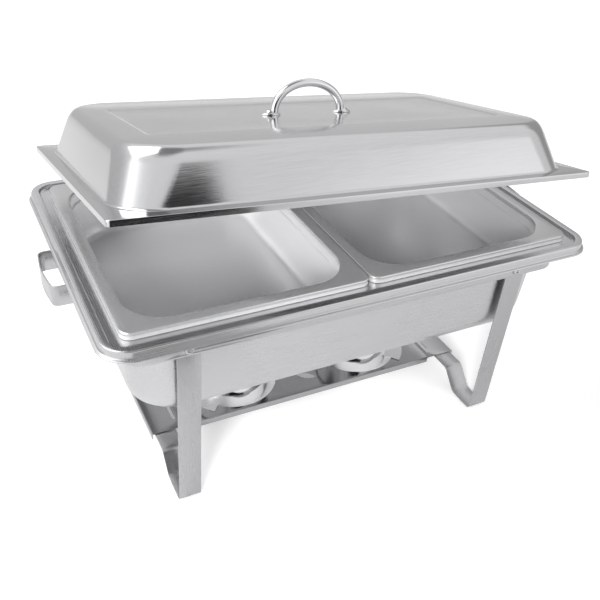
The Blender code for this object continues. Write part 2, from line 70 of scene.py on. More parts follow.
def smooth(mesh, angle=32):
    for face in mesh.polygons:
        face.use_smooth = True
    mesh.set_sharp_from_angle(angle=math.radians(angle))


def soften(corners, steps=6):
    """A path through corners of (values..., reach), each rounded from reach before it to reach after it."""
    longest_share = 0.48
    points = [Vector(corner[:-1]) for corner in corners]
    path = [points[0]]
    for index in range(1, len(points) - 1):
        here = points[index]
        back = points[index - 1] - here
        ahead = points[index + 1] - here
        reach = corners[index][-1]
        if reach <= 0:
            path.append(here)
            continue
        start = here + back * min(reach / back.length, longest_share)
        end = here + ahead * min(reach / ahead.length, longest_share)
        for step in range(steps + 1):
            t = step / steps
            path.append(start * (1 - t) ** 2 + here * 2 * t * (1 - t) + end * t ** 2)
    path.append(points[-1])
    return path


def rounded_rectangle(half_x, half_y, radius, steps=14):
    """Points of a rectangle with round corners, anticlockwise from above."""
    points = []
    for quarter, (side_x, side_y) in enumerate(((1, 1), (-1, 1), (-1, -1), (1, -1))):
        centre_x = side_x * (half_x - radius)
        centre_y = side_y * (half_y - radius)
        for step in range(steps + 1):
            angle = math.radians(90 * quarter + 90 * step / steps)
            points.append((centre_x + radius * math.cos(angle), centre_y + radius * math.sin(angle)))
    return points


def bridge(work, loops):
    """Rows of faces between loops that have the same number of points."""
    count = len(loops[0])
    for first, second in zip(loops, loops[1:]):
        for index in range(count):
            following = (index + 1) % count
            work.faces.new((first[index], first[following], second[following], second[index]))


def close_with_fan(work, loop, height):
    """Triangles from a loop to a point on the Z axis."""
    middle = work.verts.new((0, 0, height))
    for index in range(len(loop)):
        work.faces.new((loop[index], loop[(index + 1) % len(loop)], middle))


def stack(name, work, loops):
    """A closed solid through a stack of loops."""
    bridge(work, loops)
    work.faces.new(list(reversed(loops[0])))
    work.faces.new(loops[-1])
    bmesh.ops.recalc_face_normals(work, faces=work.faces)
    return to_mesh(work, name)


def applied(mesh, name, modifiers):
    """The mesh after a list of (type, settings) modifiers."""
    item = add_object(name, mesh)
    for kind, settings in modifiers:
        modifier = item.modifiers.new(kind, kind)
        for key, value in settings.items():
            setattr(modifier, key, value)
    bpy.context.view_layer.update()
    graph = bpy.context.evaluated_depsgraph_get()
    result = bpy.data.meshes.new_from_object(item.evaluated_get(graph))
    bpy.data.objects.remove(item)
    result.name = name
    return result


def thickened(thickness, offset=-1.0):
    return "SOLIDIFY", {"thickness": thickness * MM, "offset": offset, "use_even_offset": True}


def broken_edges(width, segments=2):
    """A small bevel along the sharp edges."""
    return "BEVEL", {
        "width": width * MM, "segments": segments, "limit_method": "ANGLE", "angle_limit": math.radians(60)}


def cut(mesh, name, tools, operation="DIFFERENCE"):
    """The mesh with each tool mesh cut from it, or joined to it."""
    items = [add_object(f"{name}_tool_{index}", tool) for index, tool in enumerate(tools)]
    steps = [
        ("BOOLEAN", {"operation": operation, "solver": "EXACT", "object": item}) for item in items]
    result = applied(mesh, name, steps)
    for item in items:
        bpy.data.objects.remove(item)
    return result


def sheet(name, half_x, half_y, rings, thickness, centre=(0, 0, 0), crown=0.0, closed=True):
    """A pressed sheet. Each ring is (inset, z, corner radius, reach), from the outer lip inwards."""
    work = bmesh.new()
    path = soften(rings)
    loops = []
    for inset, height, radius in path:
        outline = rounded_rectangle(half_x - inset, half_y - inset, radius)
        loops.append([work.verts.new((x, y, height)) for x, y in outline])
    floor_inset, floor_height, floor_radius = path[-1]
    if closed:
        for share in (0.25, 0.5, 0.75):
            inner_x = (half_x - floor_inset) * (1 - share)
            inner_y = (half_y - floor_inset) * (1 - share)
            height = floor_height + crown * math.sin(share * math.pi / 2)
            outline = rounded_rectangle(inner_x, inner_y, floor_radius * (1 - share))
            loops.append([work.verts.new((x, y, height)) for x, y in outline])
    bridge(work, loops)
    if closed:
        close_with_fan(work, loops[-1], floor_height + crown)
    bmesh.ops.translate(work, verts=work.verts, vec=centre)
    return applied(to_mesh(work, name), name, [thickened(thickness)])


def ribbon(name, path, width, thickness, place, round_end=0.0, offset=0.0):
    """A strip swept along a path: place(point, across) gives the point that far across its width."""
    work = bmesh.new()
    rows = [[work.verts.new(place(point, across)) for across in (-width / 2, width / 2)] for point in path]
    for first, second in zip(rows, rows[1:]):
        work.faces.new((first[0], first[1], second[1], second[0]))
    if round_end:
        ends = rows[0] + rows[-1]
        bmesh.ops.bevel(
            work, geom=ends, offset=round_end, segments=8, profile=0.5, affect="VERTICES")
    return applied(to_mesh(work, name), name, [thickened(thickness, offset), broken_edges(0.28)])


def lathe(name, profile, steps=48):
    """A solid of revolution about Z; the (radius, z) profile runs down its outer side."""
    work = bmesh.new()
    rings = []
    for radius, height in profile:
        if radius < 1e-6:
            rings.append([work.verts.new((0, 0, height))])
            continue
        rings.append([
            work.verts.new((
                radius * math.cos(2 * math.pi * step / steps),
                radius * math.sin(2 * math.pi * step / steps), height))
            for step in range(steps)])
    for upper, lower in zip(rings, rings[1:]):
        for index in range(steps):
            following = (index + 1) % steps
            corners = [
                upper[index % len(upper)], lower[index % len(lower)],
                lower[following % len(lower)], upper[following % len(upper)]]
            unique = list(dict.fromkeys(corners))
            if len(unique) > 2:
                work.faces.new(unique)
    bmesh.ops.remove_doubles(work, verts=work.verts, dist=1e-4)
    return to_mesh(work, name)


def prism(name, outline, bottom, top):
    work = bmesh.new()
    loops = [[work.verts.new((x, y, height)) for x, y in outline] for height in (bottom, top)]
    return stack(name, work, loops)


def rod(name, radius, low, high, axis, steps=32):
    """A plain cylinder from low to high along an axis letter, for cutting holes."""
    mesh = lathe(name, [(0, high), (radius, high), (radius, low), (0, low)], steps)
    if axis == "Y":
        mesh.transform(Matrix.Rotation(math.radians(-90), 4, "X"))
    if axis == "X":
        mesh.transform(Matrix.Rotation(math.radians(90), 4, "Y"))
    return mesh


def moved(mesh, x, y, z):
    """The same mesh, shifted by millimetres."""
    mesh.transform(Matrix.Translation((x * MM, y * MM, z * MM)))
    return mesh


def arc(centre_u, centre_v, radius, start, end, steps):
    """Points on an arc between two angles in degrees."""
    angles = [math.radians(start + (end - start) * step / steps) for step in range(steps + 1)]
    return [(centre_u + radius * math.cos(a), centre_v + radius * math.sin(a)) for a in angles]


# ---------------------------------------------------------------- camera, light and floor (metres)

CAMERA_PLACE = (-0.390155, -0.730421, 0.686858)
CAMERA_TURN = math.radians(-28.307)
CAMERA_TILT = math.radians(34.058)
CAMERA_ROLL = math.radians(3.870)
FOCAL_LENGTH = 46.88


def build_camera():
    data = bpy.data.cameras.new("camera")
    data.lens = FOCAL_LENGTH
    data.sensor_width = 36
    data.dof.use_dof = False
    data.clip_start = 0.01
    camera = add_object("camera", data)
    turn, tilt = CAMERA_TURN, CAMERA_TILT
    back = Vector((
        math.sin(turn) * math.cos(tilt), -math.cos(turn) * math.cos(tilt), math.sin(tilt)))
    level = Vector((math.cos(turn), math.sin(turn), 0))
    up = back.cross(level)
    right = math.cos(CAMERA_ROLL) * level + math.sin(CAMERA_ROLL) * up
    up = -math.sin(CAMERA_ROLL) * level + math.cos(CAMERA_ROLL) * up
    matrix = Matrix((right, up, back)).transposed().to_4x4()
    matrix.translation = Vector(CAMERA_PLACE)
    camera.matrix_world = matrix
    bpy.context.scene.camera = camera


class Nodes:
    """Short calls for building a node tree."""

    def __init__(self, tree):
        self.tree = tree

    def add(self, kind, inputs=None, **settings):
        node = self.tree.nodes.new(kind)
        for key, value in settings.items():
            setattr(node, key, value)
        for key, value in (inputs or {}).items():
            socket = node.inputs[key]
            if isinstance(value, bpy.types.NodeSocket):
                self.tree.links.new(value, socket)
            else:
                socket.default_value = value
        return node

    def math(self, operation, first, second=0.0):
        return self.add("ShaderNodeMath", {0: first, 1: second}, operation=operation).outputs[0]

    def vector(self, operation, first, second):
        return self.add("ShaderNodeVectorMath", {0: first, 1: second}, operation=operation).outputs[0]

    def scaled(self, vector, factor):
        return self.add("ShaderNodeVectorMath", {0: vector, "Scale": factor}, operation="SCALE").outputs[0]

    def split(self, vector):
        return self.add("ShaderNodeSeparateXYZ", {0: vector}).outputs

    def noise(self, place, scale, detail, roughness):
        return self.add("ShaderNodeTexNoise", {
            "Vector": place, "Scale": scale, "Detail": detail, "Roughness": roughness}).outputs["Fac"]

    def spread(self, value, low, high, to_low=0.0, to_high=1.0, kind="SMOOTHSTEP"):
        """The value's range from low to high, spread over another range and held at its ends."""
        inputs = {0: value, 1: low, 2: high, 3: to_low, 4: to_high}
        return self.add("ShaderNodeMapRange", inputs, interpolation_type=kind).outputs[0]

    def mix(self, share, first, second):
        """A float mix."""
        node = self.add("ShaderNodeMix", data_type="FLOAT")
        for index, value in ((0, share), (2, first), (3, second)):
            if isinstance(value, bpy.types.NodeSocket):
                self.tree.links.new(value, node.inputs[index])
            else:
                node.inputs[index].default_value = value
        return node.outputs[0]


def build_world():
    """A white studio: bright all round, with softer and stronger panels for the steel to mirror."""
    world = bpy.data.worlds.new("studio")
    bpy.context.scene.world = world
    world.use_nodes = True
    world.node_tree.nodes.clear()
    nodes = Nodes(world.node_tree)
    direction = nodes.add("ShaderNodeTexCoord").outputs["Generated"]
    height = nodes.math("ARCSINE", nodes.split(direction)["Z"])
    light = nodes.spread(height, math.radians(-10), math.radians(50), 0.80, 0.98)
    # Each panel: middle and half width of its bearing from +Y towards +X, the same of its height,
    # softness (all degrees), and its strength as a factor.
    panels = (
        (-105, 30, 16, 26, 14, 2.2),
        (138, 14, 8, 16, 12, 1.5),
        (70, 25, 10, 25, 14, 0.5),
        (-10, 55, 8, 22, 20, 0.78),
    )
    for bearing, half_bearing, middle, half_height, soft, factor in panels:
        turned = nodes.add("ShaderNodeVectorRotate", {
            "Vector": direction, "Angle": math.radians(bearing)}, rotation_type="Z_AXIS")
        there = nodes.split(turned.outputs[0])
        aside = nodes.math("ABSOLUTE", nodes.math("ARCTAN2", there["X"], there["Y"]))
        rise = nodes.math("ABSOLUTE", nodes.math("SUBTRACT", height, math.radians(middle)))
        shares = [
            nodes.spread(off, math.radians(half - soft / 2), math.radians(half + soft / 2), 1.0, 0.0)
            for off, half in ((aside, half_bearing), (rise, half_height))]
        share = nodes.math("MULTIPLY", *shares)
        light = nodes.math("MULTIPLY", light, nodes.mix(share, 1.0, factor))
    # Straight overhead the studio is darker, so that level steel mirrors grey.
    overhead = nodes.spread(height, math.radians(60), math.radians(74), 1.0, 0.3)
    light = nodes.math("MULTIPLY", light, overhead)
    seen = nodes.add("ShaderNodeLightPath").outputs["Is Camera Ray"]
    strength = nodes.mix(seen, light, 1.0)
    background = nodes.add("ShaderNodeBackground", {"Color": (1, 1, 1, 1), "Strength": strength})
    nodes.add("ShaderNodeOutputWorld", {"Surface": background.outputs[0]})


def build_floor():
    """A pale floor whose far parts fade into the white of the studio."""
    mesh = bpy.data.meshes.new("floor")
    work = bmesh.new()
    bmesh.ops.create_circle(work, cap_ends=True, segments=64, radius=4.0)
    work.to_mesh(mesh)
    work.free()
    floor = add_object("floor", mesh)
    floor.location = (0, 0, -0.0004)
    material = bpy.data.materials.new("floor")
    material.use_nodes = True
    material.node_tree.nodes.clear()
    nodes = Nodes(material.node_tree)
    seen = nodes.add("ShaderNodeLightPath").outputs["Is Camera Ray"]
    grey = nodes.mix(seen, 0.88, 0.93)
    shader = nodes.add("ShaderNodeBsdfPrincipled", {
        "Base Color": nodes.add("ShaderNodeCombineColor", {0: grey, 1: grey, 2: grey}).outputs[0],
        "Emission Strength": nodes.mix(seen, 0.0, 0.2)})
    shader.inputs["Emission Color"].default_value = (1, 1, 1, 1)
    shader.inputs["Roughness"].default_value = 0.6
    shader.inputs["Specular IOR Level"].default_value = 0.2
    nodes.add("ShaderNodeOutputMaterial", {"Surface": shader.outputs[0]})
    mesh.materials.append(material)


def build_cards():
    """Two dark cards in front of the dish, which only the steel mirrors."""
    material = bpy.data.materials.new("card")
    material.use_nodes = True
    shader = material.node_tree.nodes["Principled BSDF"]
    shader.inputs["Base Color"].default_value = (0.015, 0.015, 0.015, 1)
    shader.inputs["Roughness"].default_value = 0.9
    shader.inputs["Specular IOR Level"].default_value = 0.0
    # Each card: name, middle, width and height, and how far it is tipped up from lying flat, in degrees.
    cards = (
        ("card_flat", (-0.15, -0.51, 0.001), (0.24, 0.20), 0),
        ("card_upright", (-0.225, -0.75, 0.55), (0.64, 0.60), 90),
    )
    for name, place, size, tip in cards:
        mesh = bpy.data.meshes.new(name)
        work = bmesh.new()
        bmesh.ops.create_grid(work, x_segments=1, y_segments=1, size=0.5)
        work.to_mesh(mesh)
        work.free()
        mesh.materials.append(material)
        card = add_object(name, mesh)
        card.location = place
        card.scale = (*size, 1)
        card.rotation_euler = (math.radians(tip), 0, 0)
        card.visible_camera = False
        card.visible_diffuse = False
        card.visible_shadow = False


def aim(item, place, target):
    item.location = place
    item.rotation_mode = "QUATERNION"
    item.rotation_quaternion = (Vector(target) - Vector(place)).to_track_quat("-Z", "Y")


def build_lights():
    """A soft key light from above, and a fill light that reaches the pans under the lid."""
    key = bpy.data.lights.new("key", "AREA")
    key.shape = "RECTANGLE"
    key.size = 1.2
    key.size_y = 1.2
    key.energy = 16
    aim(add_object("key", key), (-0.9, 0.5, 1.9), (0, 0, 0.1))

    fill = bpy.data.lights.new("fill", "SPOT")
    fill.energy = 200
    fill.spot_size = math.radians(26)
    fill.spot_blend = 0.8
    fill.shadow_soft_size = 0.25
    lamp = add_object("fill", fill)
    aim(lamp, (-0.80, -1.05, 0.72), (0.0, 0.0, 0.22))
    lamp.visible_glossy = False


# ---------------------------------------------------------------- materials

GRAIN_SCALE = 400.0
GRAIN_LONG, GRAIN_ACROSS = 0.012, 3.0
# Distance from the middle along X, in metres, past which grain drawn along X turns to run along Y.
RIM_GRAIN_TURNS = (0.256, 0.264)
# Height, in metres, over which the satin of a food pan's well turns into its rim, and the well's painted
# light into the rim's plain steel tone.
RIM_BEGINS = (0.2505, 0.2545)


def brushed_steel(name, colour, roughness, anisotropy, grain=0.05, waviness=0.02, along="X",
                  metallic=1.0, rim=1.0, contrast=1.0):
    """Stainless steel with drawn grain, faint smears and a slightly wavy surface.

    Grain along X turns to run along Y on faces that look along X and on the end rims. A rim below 1
    darkens and polishes the rim of a food pan: the well's light colour is painted light, and the rim keeps
    that share of it.
    """
    material = bpy.data.materials.new(name)
    material.use_nodes = True
    material.node_tree.nodes.clear()
    nodes = Nodes(material.node_tree)
    place = nodes.add("ShaderNodeTexCoord").outputs["Object"]
    normal = nodes.add("ShaderNodeNewGeometry").outputs["Normal"]

    def streaks(*stretch):
        stretched = nodes.add("ShaderNodeMapping", {"Vector": place, "Scale": stretch})
        return nodes.noise(stretched.outputs[0], GRAIN_SCALE, 3.0, 0.6)

    if along == "X":
        facing_x = nodes.spread(nodes.math("ABSOLUTE", nodes.split(normal)["X"]), 0.6, 0.8)
        off_middle = nodes.math("ABSOLUTE", nodes.split(place)["X"])
        turned = nodes.math("MAXIMUM", facing_x, nodes.spread(off_middle, *RIM_GRAIN_TURNS))
        grain_x = streaks(GRAIN_LONG, GRAIN_ACROSS, GRAIN_ACROSS)
        grain_y = streaks(GRAIN_ACROSS, GRAIN_LONG, GRAIN_ACROSS)
        lines = nodes.mix(turned, grain_x, grain_y)
        around = nodes.vector("CROSS_PRODUCT", (0, 0, 1), normal)
        tangent = nodes.vector("ADD", around, (0.25, 0.0, 0.0))
    else:
        lines = streaks(GRAIN_ACROSS, GRAIN_ACROSS, GRAIN_LONG)
        tangent = (0.0, 0.0, 1.0)
    smear = nodes.noise(place, 9.0, 4.0, 0.55)
    wave = nodes.noise(place, 5.0, 1.0, 0.4)

    rough = nodes.spread(lines, 0.3, 0.7, roughness - grain, roughness + grain, "LINEAR")
    rough = nodes.math("ADD", rough, nodes.spread(smear, 0.3, 0.75, -0.02, 0.05, "LINEAR"))
    shade = nodes.math(
        "ADD", nodes.spread(lines, 0.3, 0.7, 1 - 0.035 * contrast, 1 + 0.03 * contrast, "LINEAR"),
        nodes.spread(smear, 0.3, 0.7, -0.015, 0.015, "LINEAR"))
    tint = nodes.scaled(colour, shade)
    # Painted light: a food pan's well keeps its light colour, standing in for light under the lid, and the
    # rim is darkened to the given share.
    if rim < 1.0:
        level = nodes.split(place)["Z"]
        tint = nodes.scaled(tint, nodes.spread(level, *RIM_BEGINS, 1.0, rim))
        rough = nodes.math("MULTIPLY", rough, nodes.spread(level, *RIM_BEGINS, 1.0, 0.6))
    wavy = nodes.add("ShaderNodeBump", {"Strength": waviness * 10, "Distance": 0.01, "Height": wave})
    bump = nodes.add("ShaderNodeBump", {
        "Strength": 0.12 * contrast, "Distance": 0.0002, "Height": lines, "Normal": wavy.outputs[0]})
    shader = nodes.add("ShaderNodeBsdfPrincipled", {
        "Base Color": tint, "Roughness": rough, "Normal": bump.outputs[0], "Tangent": tangent})
    shader.inputs["Metallic"].default_value = metallic
    shader.inputs["Anisotropic"].default_value = anisotropy
    shader.inputs["Anisotropic Rotation"].default_value = 0.25
    nodes.add("ShaderNodeOutputMaterial", {"Surface": shader.outputs[0]})
    return material


def build_materials():
    return {
        "lid": brushed_steel("lid_steel", (0.60, 0.60, 0.61), 0.13, 0.55, 0.03),
        "pan": brushed_steel("pan_steel", (0.62, 0.62, 0.63), 0.28, 0.45, 0.04, contrast=0.7),
        # The food pans' light colour and lower metallic are painted light, standing in for light that
        # hardly reaches the wells under the lid.
        "food": brushed_steel("food_pan_steel_painted_light", (0.90, 0.90, 0.91), 0.36, 0.5, 0.02,
                              metallic=0.74, rim=0.64, contrast=0.5),
        "strip": brushed_steel("strip_steel", (0.54, 0.54, 0.55), 0.24, 0.4),
        "leg": brushed_steel("leg_steel", (0.50, 0.50, 0.51), 0.28, 0.5, along="Z"),
        "cup": brushed_steel("cup_steel", (0.82, 0.82, 0.83), 0.08, 0.0, 0.02, 0.03),
        # The shelf's steel is partly painted shade: its dark colour stands in for the shade under the water
        # pan, while its low roughness is its real polish.
        "polished": brushed_steel("polished_steel", (0.44, 0.44, 0.45), 0.07, 0.0, 0.02, 0.03),
        "chrome": brushed_steel("chrome", (0.70, 0.70, 0.71), 0.05, 0.0, 0.01, 0.01),
        "rivet": brushed_steel("rivet_steel", (0.60, 0.60, 0.61), 0.22, 0.0, 0.04, 0.01),
    }


# ---------------------------------------------------------------- pans

PAN_TOP = 256.0
PAN_SHEET = 0.8
PANS_HALF_X, PANS_HALF_Y = 265.0, 162.5
FOOD_PAN_HALF_X, FOOD_PAN_CENTRE = 132.2, 132.6
FOOD_PAN_DEPTH, WATER_PAN_DEPTH = 65.0, 124.0


def build_food_pans(materials):
    rings = [
        (0.3, -7.5, 11, 0), (0, 0, 11, 2.6), (13.8, 0, 45, 3.0), (14.6, -12.2, 46, 1.0),
        (16.3, -13.4, 45, 1.0), (21.4, -FOOD_PAN_DEPTH, 41, 14), (38, -FOOD_PAN_DEPTH, 33, 0)]
    for side, word in ((-1, "left"), (1, "right")):
        mesh = sheet(
            f"food_pan_{word}_skin", FOOD_PAN_HALF_X, PANS_HALF_Y, rings, PAN_SHEET,
            centre=(side * FOOD_PAN_CENTRE, 0, PAN_TOP), crown=0.35)
        smooth(mesh)
        # The food pans' steel carries painted light in their wells.
        add_piece(f"food_pan_{word}", mesh, f"food_{word}", materials["food"])


def build_water_pan(materials):
    rings = [
        (-24, -14.4, 32, 0), (-24, -13.0, 32, 0.9), (-20.7, -12.7, 29, 1.4),
        (-20.6, -3.8, 28.8, 2.3), (-11.3, -3.8, 16.4, 1.2), (-10.1, -7.9, 15.4, 1.2),
        (8.9, -7.9, 44.5, 3.4), (15.1, -WATER_PAN_DEPTH, 46, 27), (46, -WATER_PAN_DEPTH, 36, 0)]
    mesh = sheet(
        "water_pan_skin", PANS_HALF_X, PANS_HALF_Y, rings, PAN_SHEET, centre=(0, 0, PAN_TOP), crown=0.5)
    smooth(mesh)
    add_piece("water_pan", mesh, "water", materials["pan"])


# ---------------------------------------------------------------- stand

RAIL_X, RAIL_Y = 264.0, 160.5
RAIL_LOW, RAIL_HIGH = 212.9, 246.9
RAIL_CORNER = 24.0
RAIL_STRIP, STRIP = 1.2, 1.5
LEG_X, LEG_WIDTH = 200.0, 25.4
PIVOT = 220.0
HANDLE_FACE_X, HANDLE_REACH = 264.4, 305.5
HANDLE_MIDDLE, HANDLE_WIDTH = 228.8, 24.0
RIVET_HOLE, RIVET_GRIP = 2.8, 3.7
LEG_RIVET_Y = 160.8
HANDLE_RIVET_X, HANDLE_RIVET_Y = 266.2, 48.0


def leg_pivot_hole(side):
    """A cutting rod through the front and back walls at one leg frame."""
    return moved(rod("hole", RIVET_HOLE, -RAIL_Y - 10, RAIL_Y + 10, "Y"), side * LEG_X, 0, PIVOT)


def build_rail(materials):
    rings = [(0, height, RAIL_CORNER, 0) for height in (RAIL_LOW, RAIL_HIGH)]
    mesh = sheet("stand_rail_skin", RAIL_X, RAIL_Y, rings, RAIL_STRIP, closed=False)
    tools = []
    for side in (-1, 1):
        tools.append(leg_pivot_hole(side))
        hole = rod("hole", RIVET_HOLE, -RAIL_X - 10, RAIL_X + 10, "X")
        tools.append(moved(hole, 0, side * HANDLE_RIVET_Y, HANDLE_MIDDLE))
    mesh = cut(mesh, "stand_rail_skin", tools)
    mesh = applied(mesh, "stand_rail_skin", [broken_edges(0.25)])
    smooth(mesh)
    add_piece("stand_rail", mesh, "stand", materials["strip"])


def build_side_handles(materials):
    half_y, tab_end, corner_x = 36, 58, HANDLE_REACH - 4
    corners = [
        (HANDLE_FACE_X, -tab_end, 0), (HANDLE_FACE_X, -half_y, 3.4), (corner_x, -half_y, 6),
        (HANDLE_REACH, 0, 30), (corner_x, half_y, 6), (HANDLE_FACE_X, half_y, 3.4),
        (HANDLE_FACE_X, tab_end, 0)]
    path = soften(corners, 8)
    for side, word in ((-1, "left"), (1, "right")):
        name = f"side_handle_{word}"
        mesh = ribbon(
            name, path, HANDLE_WIDTH, STRIP,
            lambda point, across: (side * point.x, point.y, HANDLE_MIDDLE + across),
            round_end=4.0, offset=-side)
        tools = [
            moved(rod("hole", RIVET_HOLE, -8, 8, "X"),
                  side * HANDLE_FACE_X, end * HANDLE_RIVET_Y, HANDLE_MIDDLE)
            for end in (-1, 1)]
        mesh = cut(mesh, f"{name}_skin", tools)
        smooth(mesh)
        add_piece(name, mesh, "stand", materials["strip"])


def build_legs(materials):
    """Each leg frame runs down the front, back along the foot, up to the shelf's rest, and on in mirror."""
    top_y, foot_y, foot_end_y, rest_y = -158.15, -148.25, -111.25, -89
    foot_z, rest_z = STRIP / 2, 25.25
    corners = [
        (top_y, 231, 0), (top_y, 205, 8), (foot_y, foot_z, 7), (foot_end_y, foot_z, 6),
        (rest_y, rest_z, 4), (0, rest_z, 0)]
    front = soften(corners, 8)
    back = [Vector((-point.x, point.y)) for point in reversed(front[:-1])]
    path = front + back
    for side, word in ((-1, "left"), (1, "right")):
        name = f"leg_frame_{word}"
        mesh = ribbon(
            name, path, LEG_WIDTH, STRIP,
            lambda point, across: (side * LEG_X + across, point.x, point.y), round_end=7.0)
        mesh = cut(mesh, f"{name}_skin", [leg_pivot_hole(side)])
        smooth(mesh)
        add_piece(name, mesh, f"leg_{word}", materials["leg"])


def build_rivet(name, place, outwards, materials):
    """A rivet whose head sits on the point place and looks outwards."""
    profile = [
        (0, 0.7), (1.3, 0.6), (1.7, 1.0), (2.1, 1.75), (2.6, 1.9), (3.6, 1.6), (4.4, 0.9), (4.7, 0.3),
        (4.6, 0), (2.4, 0)]
    profile += [
        (radius, -RIVET_GRIP - depth) for radius, depth in (
            (2.4, 0), (4.2, 0), (4.2, 0.8), (3.8, 1.25), (3.2, 1.4), (1.6, 1.4), (1.3, 0.9), (0, 0.8))]
    mesh = lathe(f"{name}_skin", profile, 40)
    smooth(mesh, 40)
    turn = Vector((0, 0, 1)).rotation_difference(Vector(outwards))
    mesh.transform(turn.to_matrix().to_4x4())
    add_piece(name, moved(mesh, *place), "stand", materials["rivet"])


def build_rivets(materials):
    for side_x, word_x in ((-1, "left"), (1, "right")):
        for side_y, word_y in ((-1, "front"), (1, "back")):
            build_rivet(
                f"leg_rivet_{word_y}_{word_x}", (side_x * LEG_X, side_y * LEG_RIVET_Y, PIVOT),
                (0, side_y, 0), materials)
            build_rivet(
                f"handle_rivet_{word_x}_{word_y}",
                (side_x * HANDLE_RIVET_X, side_y * HANDLE_RIVET_Y, HANDLE_MIDDLE),
                (side_x, 0, 0), materials)


# ---------------------------------------------------------------- fuel shelf and cups

SHELF_TOP = 27.4
CUP_X = 90.5
CUP_OPENING = 57.5
# Gap between pieces that rest on each other.
FIT = 0.4


def leaf(half_length, half_width, steps=12):
    """Two arcs that meet in points, long in X."""
    radius = (half_length ** 2 + half_width ** 2) / (2 * half_width)
    sweep = math.degrees(math.asin(half_length / radius))
    lower = arc(0, radius - half_width, radius, 270 - sweep, 270 + sweep, steps)
    upper = arc(0, half_width - radius, radius, 90 - sweep, 90 + sweep, steps)
    return lower + upper[1:-1]


def build_shelf(materials):
    half_x, half_y, flange, flange_x = 216.5, 62.5, 8.0, 175.0
    columns = (-half_x, -flange_x, flange_x, half_x)
    work = bmesh.new()
    rows = [[work.verts.new((x, side * half_y, 0)) for x in columns] for side in (-1, 1)]
    for index in range(3):
        work.faces.new((rows[0][index], rows[0][index + 1], rows[1][index + 1], rows[1][index]))
    edges = [
        (rows[0][2], rows[0][1]), (rows[1][1], rows[1][2]),
        (rows[0][0], rows[1][0]), (rows[1][3], rows[0][3])]
    for first, second in edges:
        low = [work.verts.new(vertex.co - Vector((0, 0, flange))) for vertex in (second, first)]
        work.faces.new((first, second, low[0], low[1]))
    bmesh.ops.recalc_face_normals(work, faces=work.faces)
    if sum(face.normal.z for face in work.faces) < 0:
        bmesh.ops.reverse_faces(work, faces=work.faces)
    mesh = moved(to_mesh(work, "shelf"), 0, 0, SHELF_TOP)
    mesh = applied(mesh, "shelf", [broken_edges(1.3, 4), thickened(1.0)])
    low, high = SHELF_TOP - 7, SHELF_TOP + 7
    tools = []
    for side in (-1, 1):
        tools.append(moved(rod("opening", CUP_OPENING, low, high, "Z", 96), side * CUP_X, 0, 0))
        lens = prism("lens", leaf(13, 5), low, high)
        lens.transform(Matrix.Rotation(math.radians(-30), 4, "Z"))
        tools.append(moved(lens, -side * 2, side * 34, 0))
        for turn in (-1, 1):
            end_slot = prism("slot", rounded_rectangle(1.8, 15, 1.79, 6), low, high)
            tools.append(moved(end_slot, side * 184, turn * 31, 0))
    mesh = cut(mesh, "fuel_shelf_skin", tools)
    smooth(mesh)
    # The shelf's dark colour is partly painted shade from the water pan above.
    add_piece("fuel_shelf", mesh, "shelf", materials["polished"])


def build_cups(materials):
    radius, bottom, top, bend, wall = 47.0, 8.0, 76.0, 15.0, 0.8
    ear_reach, ear_half_sweep = 69, 13
    seat = SHELF_TOP + FIT
    outer = [(radius, top - 3.0), (radius, seat + 6)]
    outer += arc(radius - bend, bottom + bend, bend, 0, -90, 10)
    outer.append((0, bottom))
    inner = [(0, bottom + wall)]
    inner += arc(radius - bend, bottom + bend, bend - wall, -90, 0, 10)
    inner += [(radius - wall, seat + 6), (radius - wall, top - 2.0)]
    curl = arc(radius + 1.35, top - 2.2, 2.15, 180, -60, 12)
    under = arc(radius + 1.35, top - 2.2, 1.35, -60, 180, 12)
    for side, word in ((-1, "left"), (1, "right")):
        name = f"fuel_cup_{word}"
        mesh = lathe(name, inner + curl + under + outer, 72)
        flipped = bmesh.new()
        flipped.from_mesh(mesh)
        bmesh.ops.recalc_face_normals(flipped, faces=flipped.faces)
        flipped.to_mesh(mesh)
        flipped.free()
        outwards = 90 - 90 * side
        ears = []
        for middle in (outwards - 38, outwards + 38, outwards + 180):
            first, last = middle - ear_half_sweep, middle + ear_half_sweep
            outline = arc(0, 0, radius - wall / 2, first, last, 8) + arc(0, 0, ear_reach, last, first, 8)
            ears.append(prism("ear", outline, seat, seat + wall))
        mesh = moved(cut(mesh, f"{name}_skin", ears, "UNION"), side * CUP_X, 0, 0)
        smooth(mesh)
        add_piece(name, mesh, f"cup_{word}", materials["cup"])


# ---------------------------------------------------------------- lid

LID_HALF_X, LID_HALF_Y, LID_HEIGHT = 272.0, 169.5, 52.0
PANEL_HALF_X, PANEL_HALF_Y, PANEL_HEIGHT = 207.0, 79.0, LID_HEIGHT - 1.0
LID_SHEET = 0.8
HANDLE_HALF = 41.5
BORE = 2.6
# The lid is tipped about a level line behind its back right corner: the line's bearing and its distance
# from the middle, and how far the lid is tipped.
LID_AXIS_TURN, LID_AXIS_DISTANCE, LID_TIP = math.radians(-19), 290.0, math.radians(12.3)


def lid_matrix():
    """From the closed lid's own frame, with z = 0 on its flange, to its tipped place."""
    turn = LID_AXIS_TURN
    direction = Vector((-math.cos(turn), -math.sin(turn), 0))
    point = Vector((-math.sin(turn), math.cos(turn), 0)) * LID_AXIS_DISTANCE * MM
    point.z = PAN_TOP * MM
    tilt = Quaternion(direction, LID_TIP).to_matrix().to_4x4()
    closed = Matrix.Translation(Vector((0, 0, (PAN_TOP + LID_SHEET + FIT) * MM)) - point)
    return Matrix.Translation(point) @ tilt @ closed


def lid_piece(stands_for, mesh, material):
    mesh.transform(lid_matrix())
    add_piece(stands_for, mesh, "lid", material)


